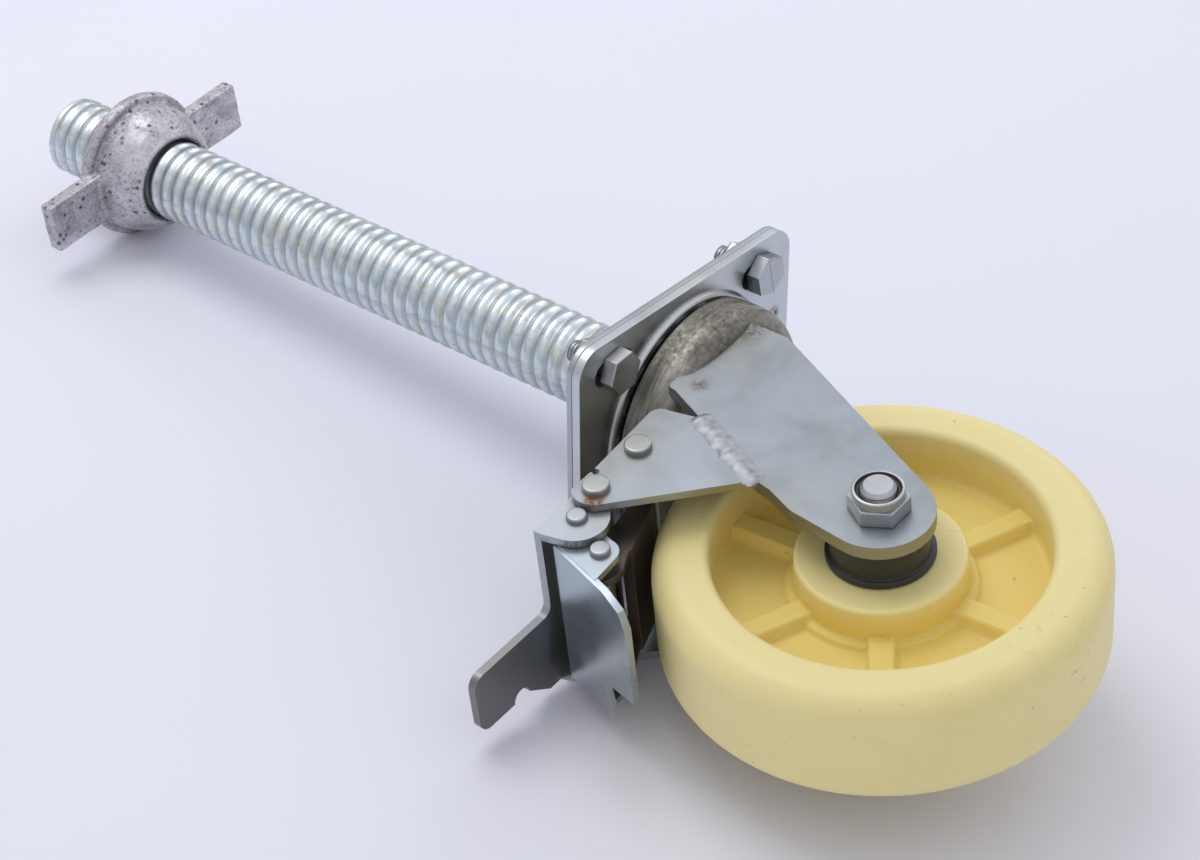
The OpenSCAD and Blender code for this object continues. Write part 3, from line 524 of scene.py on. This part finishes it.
def bead(name, node, side):
    """A seam weld with faint ripples on a leg's outer face. Side is 1 on the near leg, -1 on the far one."""
    bm = bmesh.new()
    top, foot = Vector(SEAM_TOP), Vector(SEAM_FOOT)
    run = foot - top
    along, across = run.normalized(), Vector((-run.y, run.x)).normalized()
    long, wide = 150, 18
    overrun, half, high, ripple = 1.5, 4.5, 1.3, 3.2
    edge_sink, floor_sink = 0.25, 0.3
    rows = []
    for i in range(long + 1):
        s = (run.length + 2 * overrun) * i / long - overrun
        end = min(1.0, (1 - abs(2 * i / long - 1)) * 9) ** 0.5
        wobble = 0.5 * around((s * 0.16, side * 3.0, 0), 1.0)
        width = half * (0.55 + 0.45 * end) * (1 + 0.16 * around((s * 0.3, 5.0, side), 1.0))
        row = []
        for j in range(wide + 1):
            t = 2 * j / wide - 1
            phase = s / ripple + 0.9 * t * t + 0.3 * around((s * 0.2, t, 1.0), 1.0)
            crest = math.cos(2 * math.pi * phase)
            h = high * end * max(0.0, 1 - t * t) * (0.98 + 0.02 * crest)
            h += 0.16 * end * (1 - t * t) * around((s, t * 3, side * 7.0), 0.4)
            p = top + along * s + across * (t * width + wobble)
            row.append(bm.verts.new((p.x, side * (LEG_OUT - edge_sink + max(h, 0)), p.y + FACE_Z)))
        rows.append(row)
    for a, b in zip(rows, rows[1:]):
        for j in range(wide):
            bm.faces.new((a[j], a[j + 1], b[j + 1], b[j]))
    rim = rows[0] + [r[-1] for r in rows[1:-1]] + rows[-1][::-1] + [r[0] for r in rows[-2:0:-1]]
    floor = [bm.verts.new((v.co.x, side * (LEG_OUT - floor_sink), v.co.z)) for v in rim]
    for k in range(len(rim)):
        m = (k + 1) % len(rim)
        bm.faces.new((rim[k], rim[m], floor[m], floor[k]))
    bm.faces.new(floor)
    stand_for(piece(name, bm, 60), WELD, node)


def stem_bead():
    """The lumpy fillet weld round the stem's foot."""
    bm = bmesh.new()
    n, m = 240, 14
    leg, ripples, inner = 5.0, 14, STEM_R - 0.5
    rings = []
    for i in range(n):
        a = 2 * math.pi * i / n
        row = []
        size = leg * (0.82 + 0.22 * around((math.cos(a) * 2.2, math.sin(a) * 2.2, 0.4), 1.0))
        for j in range(m + 1):
            t = j / m
            wander = around((math.cos(a), math.sin(a), t), 2.0)
            crest = abs(math.sin(ripples * a + 2.2 * (t - 0.5) ** 2 + 0.8 * wander))
            swell = (0.16 + 0.10 * crest) * size * math.sin(math.pi * t)
            r = inner + size * t + 0.7 * swell
            z = max(0.0, size * (1 - t) + 0.7 * swell)
            row.append(bm.verts.new((r * math.cos(a), r * math.sin(a), z)))
        foot = bm.verts.new((inner * math.cos(a), inner * math.sin(a), 0))
        rings.append(row + [foot])
    for a, b in zip(rings, rings[1:] + rings[:1]):
        for j in range(len(a)):
            k = (j + 1) % len(a)
            bm.faces.new((a[j], b[j], b[k], a[k]))
    stand_for(piece("stem_bead", bm, 60), WELD, "stem_weld")


# Wheel


def wheel_rim():
    """The moulded wheel, with fillets and soft-edged ribs."""
    bm = bmesh.new()
    bore_r, bore_floor, hub_r, hub_half = 16.0, 10.0, 28.4, 17.9
    foot_half, web_half = 5.4, 3.5
    recess_r, wheel_r, wheel_half, shoulder_r = 55.6, 75.0, 22.0, 11.0
    ribs_n, rib_phase, rib_top, rib_half, rib_soft = 6, 35, 8.0, 4.5, 1.5
    turns = 360
    side = rounded([(bore_r, bore_floor, 0), (bore_r, hub_half, 0.5), (hub_r, hub_half, 1.6),
                    (hub_r + 0.5, foot_half + 0.6, 1.2), (hub_r + 3.0, foot_half, 1.0),
                    (hub_r + 4.0, web_half, 1.2), (recess_r - 0.4, web_half, 2.4),
                    (recess_r, wheel_half, 3.0), (wheel_r, wheel_half, shoulder_r), (wheel_r, 0.0, 0)], 9)
    side = spaced(side, 1.6)
    line = side + [(r, -h) for r, h in side[-2::-1]]
    angles = [2 * math.pi * k / turns for k in range(turns)]
    ribs = [math.radians(rib_phase + 360 / ribs_n * i) for i in range(ribs_n)]
    cover = []
    for a in angles:
        best = min(ribs, key=lambda b: abs((a - b + math.pi) % (2 * math.pi) - math.pi))
        cover.append((a - best + math.pi) % (2 * math.pi) - math.pi)
    rings = []
    for r, h in line:
        ring = []
        for a, off in zip(angles, cover):
            y = abs(h)
            if hub_r - 0.1 < r < recess_r + 0.4 and y < rib_top:
                gap = abs(r * math.sin(off)) - rib_half
                w = min(max(0.5 - gap / rib_soft, 0), 1)
                y += (rib_top - y) * w * w * (3 - 2 * w)
            point = Vector((r * math.cos(a), r * math.sin(a), math.copysign(y, h)))
            ring.append(bm.verts.new(AXLE_PLACE @ point))
        rings.append(ring)
    for a, b in zip(rings, rings[1:] + rings[:1]):
        for k in range(turns):
            m = (k + 1) % turns
            bm.faces.new((a[k], a[m], b[m], b[k]))
    stand_for(piece("wheel_moulding", bm, 70), NYLON, "wheel")


# Wing nut


def cast_nut():
    """The CAD nut remeshed, with the rounded edges and uneven skin of a casting."""
    voxel, bore_margin, lumps, grain = 0.6, 1.2, 0.22, 0.10
    obj = bpy.data.objects.new("nut_casting", NODES["wing_nut"].data.copy())
    bpy.context.scene.collection.objects.link(obj)
    grid = obj.modifiers.new("grid", "REMESH")
    grid.mode, grid.voxel_size, grid.use_smooth_shade = "VOXEL", voxel * MM, True
    soft = obj.modifiers.new("soft", "SMOOTH")
    soft.factor, soft.iterations = 0.5, 4
    shape = obj.evaluated_get(bpy.context.evaluated_depsgraph_get())
    me = bpy.data.meshes.new_from_object(shape)
    obj.modifiers.clear()
    obj.data = me
    for v in me.vertices:
        p = v.co / MM
        if math.hypot(p.x, p.y) > STEM_R + bore_margin:
            v.co += v.normal * MM * (lumps * around(p, 0.16, 3.0) + grain * around(p, 0.55, 9.0))
    stand_for(obj, CAST, "wing_nut")


# Turned and hexagonal pieces


def rivet_pair(name, node, centre, half, head_size):
    """A pin with a flat head at each end, as thick between them as its heads."""
    bm = bmesh.new()
    head_r, head_h = head_size
    edge_r, longest = 0.8, 30
    place = Matrix(((1, 0, 0, centre[0]), (0, 0, 1, 0), (0, -1, 0, centre[1] + FACE_Z), (0, 0, 0, 1)))
    head = rounded([(0, half + head_h, 0), (head_r, half + head_h, edge_r), (head_r, half, 0)], 5)
    line = head + [(r, -h) for r, h in head[::-1]]
    lathe(bm, spaced(line, longest), place, 48)
    stand_for(even(piece(name, bm, 50)), RIVET, node)


def hex_line(af, turn=0.0):
    """A hexagon with slightly rounded corners, turned by degrees."""
    corner_r, reach = 0.35, af / math.sqrt(3)
    angles = [math.radians(60 * k + turn) for k in range(6)]
    return rounded([(reach * math.cos(a), reach * math.sin(a), corner_r) for a in angles], 3, closed=True)


def ridges(r, root_r, low, high, pitch, marks):
    """Thread ridges as (radius, height) points.
    The marks are where in a pitch the crest ends, the root starts and the root ends."""
    crest_end, root_start, root_end = marks
    line, z = [], low
    while z < high:
        line += [(r, z + crest_end), (root_r, z + root_start), (root_r, z + root_end), (r, z + pitch)]
        z += pitch
    return line


def axle_fasteners():
    """The locking nut with its ring, and the axle bolt with its thread end."""
    hex_h, nut_h, head_h = 6.0, 9.2, 7.5
    collar_r, ring_r, ring_drop = 8.7, 7.6, 1.0
    root_r, pitch, thread_from, thread_to = 5.35, 1.75, 37.0, 45.4
    nut_top, bolt_end, chamfer = LEG_OUT + nut_h, LEG_OUT + 10.5, 1.1
    bm = bmesh.new()
    slab(bm, hex_line(AXLE_AF), LEG_OUT, LEG_OUT + hex_h, AXLE_PLACE, 0.55)
    collar = rounded([(collar_r, nut_top - 3.9, 0), (collar_r, nut_top, 1.3), (ring_r, nut_top, 0.2),
                      (ring_r, nut_top - 1.5, 0)], 6)
    lathe(bm, collar, AXLE_PLACE, 72)
    stand_for(even(piece("axle_lock_nut", bm, 40)), FASTENER, "axle_nut")
    bm = bmesh.new()
    top = nut_top - ring_drop
    ring = rounded([(ring_r, top - 0.7, 0), (ring_r - 0.2, top, 0.3), (AXLE_R + 0.2, top - 0.1, 0.3),
                    (AXLE_R + 0.05, top - 0.9, 0)], 3)
    lathe(bm, ring, AXLE_PLACE, 64)
    # The lock ring's near-black colour is painted shade.
    stand_for(piece("lock_ring", bm), SHADED_INSERT, "nut_insert")
    bm = bmesh.new()
    slab(bm, hex_line(AXLE_AF), -LEG_OUT - head_h, -LEG_OUT, AXLE_PLACE, 0.7)
    shank = [(0, -LEG_OUT), (AXLE_R, -LEG_OUT), (AXLE_R, thread_from)]
    shank += ridges(AXLE_R, root_r, thread_from, thread_to, pitch, (0.25, 0.95, 1.2))
    shank += [(AXLE_R - 0.1, bolt_end - chamfer), (AXLE_R - 0.1 - chamfer, bolt_end), (0, bolt_end)]
    lathe(bm, shank, AXLE_PLACE, 64)
    stand_for(even(piece("axle_screw", bm, 30)), FASTENER, "axle_bolt")


def plate_fasteners():
    """Four bolts with thread ends and their nuts, each turned to an angle of its own."""
    head_h, nut_h, end_z, edge = 5.5, 6.5, 12.0, 0.6
    root_r, pitch, thread_from, thread_to = 3.5, 1.25, 6.6, 10.6
    head_turn, nut_turn = 17.0, 25.0
    turn = Matrix.Rotation(math.radians(PLATE_TURN), 4, "Z")
    spots = [turn @ Matrix.Translation((sx * BOLT_X, sy * BOLT_Y, 0)) for sx in (-1, 1) for sy in (-1, 1)]
    shank = [(0, FACE_Z), (BOLT_R, FACE_Z), (BOLT_R, thread_from)]
    shank += ridges(BOLT_R, root_r, thread_from, thread_to, pitch, (0.2, 0.6, 0.8))
    shank += [(BOLT_R, end_z - 0.4), (BOLT_R - 0.7, end_z), (0, end_z)]
    bm = bmesh.new()
    for k, spot in enumerate(spots):
        slab(bm, hex_line(BOLT_AF, head_turn * k), FACE_Z - head_h, FACE_Z, spot, edge)
        lathe(bm, shank, spot, 40)
    stand_for(even(piece("plate_screws", bm, 30)), FASTENER, "plate_bolts")
    bm = bmesh.new()
    for k, spot in enumerate(spots):
        slab(bm, hex_line(BOLT_AF, nut_turn * k), 0.0, nut_h, spot, edge)
    stand_for(even(piece("plate_hex_nuts", bm, 30)), FASTENER, "plate_nuts")


def dust_caps():
    """A nose on the bearing, a lip over the hub and a round body up to the leg, on both sides."""
    bore_r, nose_r, nose_end = AXLE_R + 0.05, 9.2, 16.6
    lip_r, lip, lip_t, body_r = 18.2, 18.2, 2.3, 16.4
    line = rounded([(bore_r, nose_end, 0), (nose_r, nose_end, 0.2), (nose_r, lip, 0.2), (lip_r, lip, 0.5),
                    (lip_r, lip + lip_t, 0.7), (body_r + 0.2, lip + lip_t + 0.4, 0.5),
                    (body_r, LEG_IN - 0.1, 1.2), (bore_r, LEG_IN - 0.02, 0)], 5)
    for side, node in ((1, "dust_cap_near"), (-1, "dust_cap_far")):
        bm = bmesh.new()
        lathe(bm, [(r, side * h) for r, h in spaced(line, 4)], AXLE_PLACE, 96)
        stand_for(piece(node + "_turned", bm, 35), CAP, node)


# Fork


def touch(p, c, r, side):
    """Where a line from p touches a circle."""
    v = Vector(c) - Vector(p)
    a = math.atan2(v.y, v.x) + side * math.asin(r / v.length)
    reach = math.sqrt(v.length_squared - r * r)
    return p[0] + reach * math.cos(a), p[1] + reach * math.sin(a)


def fork_sheet():
    """Dished crown and two legs, with the rounded edges of pressed sheet."""
    bm = bmesh.new()
    top_z, rear_knee, shoulder = -16, (-16.0, -35.0), (27.4, -19.5)
    knee, hip, end_r, arc_n = (50.4, -76.7), (54.7, -88.0), 18.4, 40
    a, b = touch(hip, AXLE, end_r, 1), touch(rear_knee, AXLE, end_r, -1)
    t0 = math.atan2(a[1] - AXLE[1], a[0] - AXLE[0])
    t1 = math.atan2(b[1] - AXLE[1], b[0] - AXLE[0])
    t1 -= 2 * math.pi * (t1 > t0)
    turns = [t0 + (t1 - t0) * k / arc_n for k in range(arc_n + 1)]
    arc = [(AXLE[0] + end_r * math.cos(t), AXLE[1] + end_r * math.sin(t), 0) for t in turns]
    edge = [(*rear_knee, 8), (rear_knee[0], top_z, 1), (shoulder[0] - 0.4, top_z, 1), (*shoulder, 2),
            (*SEAM_TOP, 1.0), (*SEAM_FOOT, 1.5), (*knee, 6), (*hip, 10)]
    outline = rounded(edge + arc, 5, closed=True)
    upright = Matrix(((1, 0, 0, 0), (0, 0, -1, 0), (0, 1, 0, FACE_Z), (0, 0, 0, 1)))
    sheet_t = LEG_OUT - LEG_IN
    for low in (LEG_IN, -LEG_OUT):
        slab(bm, outline, -low - sheet_t, -low, upright, 0.7)
    legs = set(bm.faces)
    bore_r, floor_z, rim_z, lip_z, under_z = 7.06, -15.5, -7.5, -4.0, -21
    crown_r, bend_r = 43.5, 10.0
    crown = rounded([(bore_r, floor_z, 0), (31.7, floor_z, 1.5), (34.2, rim_z, 1.0), (36.4, rim_z, 0.3),
                     (38.7, rim_z - 0.6, 1.5), (crown_r - 1.4, lip_z - 0.8, 1.5), (crown_r - 1.3, lip_z, 0.2),
                     (crown_r, lip_z, 0.5), (crown_r, under_z, bend_r), (bore_r, under_z, 0)], 8)
    lathe(bm, spaced(crown, 4), Matrix.Translation((0, 0, FACE_Z)), 128, closed=True)
    for f in bm.faces:
        f.material_index = 0 if f in legs else 1
    obj = even(piece("fork_sheet", bm, 40))
    kinds = [p.material_index for p in obj.data.polygons]
    stand_for(obj, FORK, "fork")
    obj.data.materials.append(CROWN)
    obj.data.polygons.foreach_set("material_index", kinds)


thread_stem()
bead("seam_bead_near", "weld_near", 1)
bead("seam_bead_far", "weld_far", -1)
stem_bead()
wheel_rim()
cast_nut()
rivet_pair("shoe_rivet", "shoe_pivot", SHOE_PIN, LEG_OUT, BIG_HEAD)
rivet_pair("lever_rivet", "lever_pivot", LEVER_PIN, LEG_OUT, BIG_HEAD)
rivet_pair("link_rivet", "link_pivot", LINK_PIN, LEVER_OUT, SMALL_HEAD)
rivet_pair("toe_rivet", "toe_pin", TOE_PIN, LINK_OUT, SMALL_HEAD)
axle_fasteners()
plate_fasteners()
dust_caps()
fork_sheet()
for node, width, look in (("castor_plate", 0.8, PLATE), ("stem_plate", 0.5, STEM_PLATE),
                          ("bracket_near", 0.4, BRACKET), ("bracket_far", 0.4, BRACKET),
                          ("brake_lever", 0.5, LEVER), ("brake_link", 0.5, LINK), ("brake_shoe", 0.4, SHOE)):
    stand_for(dress(node, width), look, node)
for node, look in (("kingpin", HIDDEN_STEEL), ("lower_race", HIDDEN_STEEL), ("bearing_spacer", HIDDEN_STEEL),
                   ("upper_balls", BALLS), ("lower_balls", BALLS), ("bearing_balls_near", BALLS),
                   ("bearing_balls_far", BALLS), ("inner_ring_near", BALLS), ("inner_ring_far", BALLS),
                   ("outer_ring_near", BALLS), ("outer_ring_far", BALLS)):
    NODES[node].data.materials.clear()
    NODES[node].data.materials.append(look)

# Camera at the photograph's angle
eye = Vector((0.5748, 0.6438, -0.5130))
right = Vector((-0.6306, -0.0921, -0.7706))
up = Vector((-0.5468, 0.7573, 0.3569))
back = Vector((0.5508, 0.6465, -0.5279))
lens = bpy.data.cameras.new("camera")
lens.sensor_width, lens.lens = 36.0, 84.25
camera = bpy.data.objects.new("camera", lens)
camera.matrix_world = Matrix.Translation(eye) @ Matrix((right, up, back)).transposed().to_4x4()
bpy.context.scene.collection.objects.link(camera)
bpy.context.scene.camera = camera

# Floor that the castor lies on: under the plates' long edge and the wing nut's rim
floor_up = Vector((-0.1388, 0.9876, -0.0736)).normalized()
floor_drop, floor_half = 0.0504, 6000
floor_right = (right - floor_up * right.dot(floor_up)).normalized()
floor_away = floor_up.cross(floor_right).normalized()
bm = bmesh.new()
bm.faces.new([bm.verts.new(v) for v in ((-1, -1, 0), (1, -1, 0), (1, 1, 0), (-1, 1, 0))])
bmesh.ops.scale(bm, vec=(floor_half, floor_half, 1), verts=bm.verts)
floor = piece("floor", bm)
floor_axes = Matrix((floor_right, floor_away, floor_up)).transposed().to_4x4()
floor.matrix_world = Matrix.Translation(-floor_up * floor_drop) @ floor_axes
k = Look("floor_paint")
paint = k.ramp(k.noise(3.0, 2), (0.35, (0.85, 0.855, 0.955)), (0.65, (0.865, 0.87, 0.965)))
k.set(Base_Color=paint, Roughness=0.6, Specular_IOR_Level=0.2)
clear = k.add("ShaderNodeBsdfTransparent")
sides = k.add("ShaderNodeMixShader")
k.join(k.add("ShaderNodeNewGeometry").outputs["Backfacing"], sides.inputs[0])
k.join(k.bsdf.outputs[0], sides.inputs[1])
k.join(clear.outputs[0], sides.inputs[2])
k.join(sides.outputs[0], k.out.inputs["Surface"])
floor.data.materials.append(k.mat)

# Plain soft studio light
world = bpy.data.worlds.new("studio")
bpy.context.scene.world = world
world.use_nodes = True
tree = world.node_tree
tree.nodes.clear()
ray = tree.nodes.new("ShaderNodeLightPath")
seen = ray.outputs["Is Camera Ray"]
for kind in ("Is Glossy Ray", "Is Transmission Ray"):
    either = tree.nodes.new("ShaderNodeMath")
    either.operation = "MAXIMUM"
    tree.links.new(seen, either.inputs[0])
    tree.links.new(ray.outputs[kind], either.inputs[1])
    seen = either.outputs[0]
fill, backdrop = tree.nodes.new("ShaderNodeBackground"), tree.nodes.new("ShaderNodeBackground")
fill.inputs["Color"].default_value, fill.inputs["Strength"].default_value = (0.95, 0.96, 1.0, 1), 0.66
lift = tree.nodes.new("ShaderNodeVectorMath")
lift.operation = "DOT_PRODUCT"
tree.links.new(tree.nodes.new("ShaderNodeTexCoord").outputs["Generated"], lift.inputs[0])
lift.inputs[1].default_value = floor_up
sky = tree.nodes.new("ShaderNodeValToRGB")
low_sky, high_sky = (0.42, 0.43, 0.47, 1), (0.92, 0.92, 0.97, 1)
for stop, at, colour in zip(sky.color_ramp.elements, (0.0, 0.85), (low_sky, high_sky)):
    stop.position, stop.color = at, colour
tree.links.new(lift.outputs["Value"], sky.inputs["Fac"])
tree.links.new(sky.outputs["Color"], backdrop.inputs["Color"])
blend = tree.nodes.new("ShaderNodeMixShader")
tree.links.new(seen, blend.inputs[0])
tree.links.new(fill.outputs[0], blend.inputs[1])
tree.links.new(backdrop.outputs[0], blend.inputs[2])
tree.links.new(blend.outputs[0], tree.nodes.new("ShaderNodeOutputWorld").inputs["Surface"])
middle = Vector((0.02, 0.0, 0.03))
for name, where, size, power in (("key", floor_up * 1.15 + floor_away * 0.35 - floor_right * 0.45, 0.9, 5.0),
                                 ("rim", floor_up * 0.7 + floor_away * 1.0 + floor_right * 0.5, 0.7, 1.6)):
    lamp = bpy.data.lights.new(name, "AREA")
    lamp.shape, lamp.size, lamp.energy = "DISK", size, power
    holder = bpy.data.objects.new(name, lamp)
    facing = where.to_track_quat("Z", "Y").to_matrix().to_4x4()
    holder.matrix_world = Matrix.Translation(middle + where) @ facing
    bpy.context.scene.collection.objects.link(holder)
bpy.context.scene.view_settings.view_transform = "Standard"
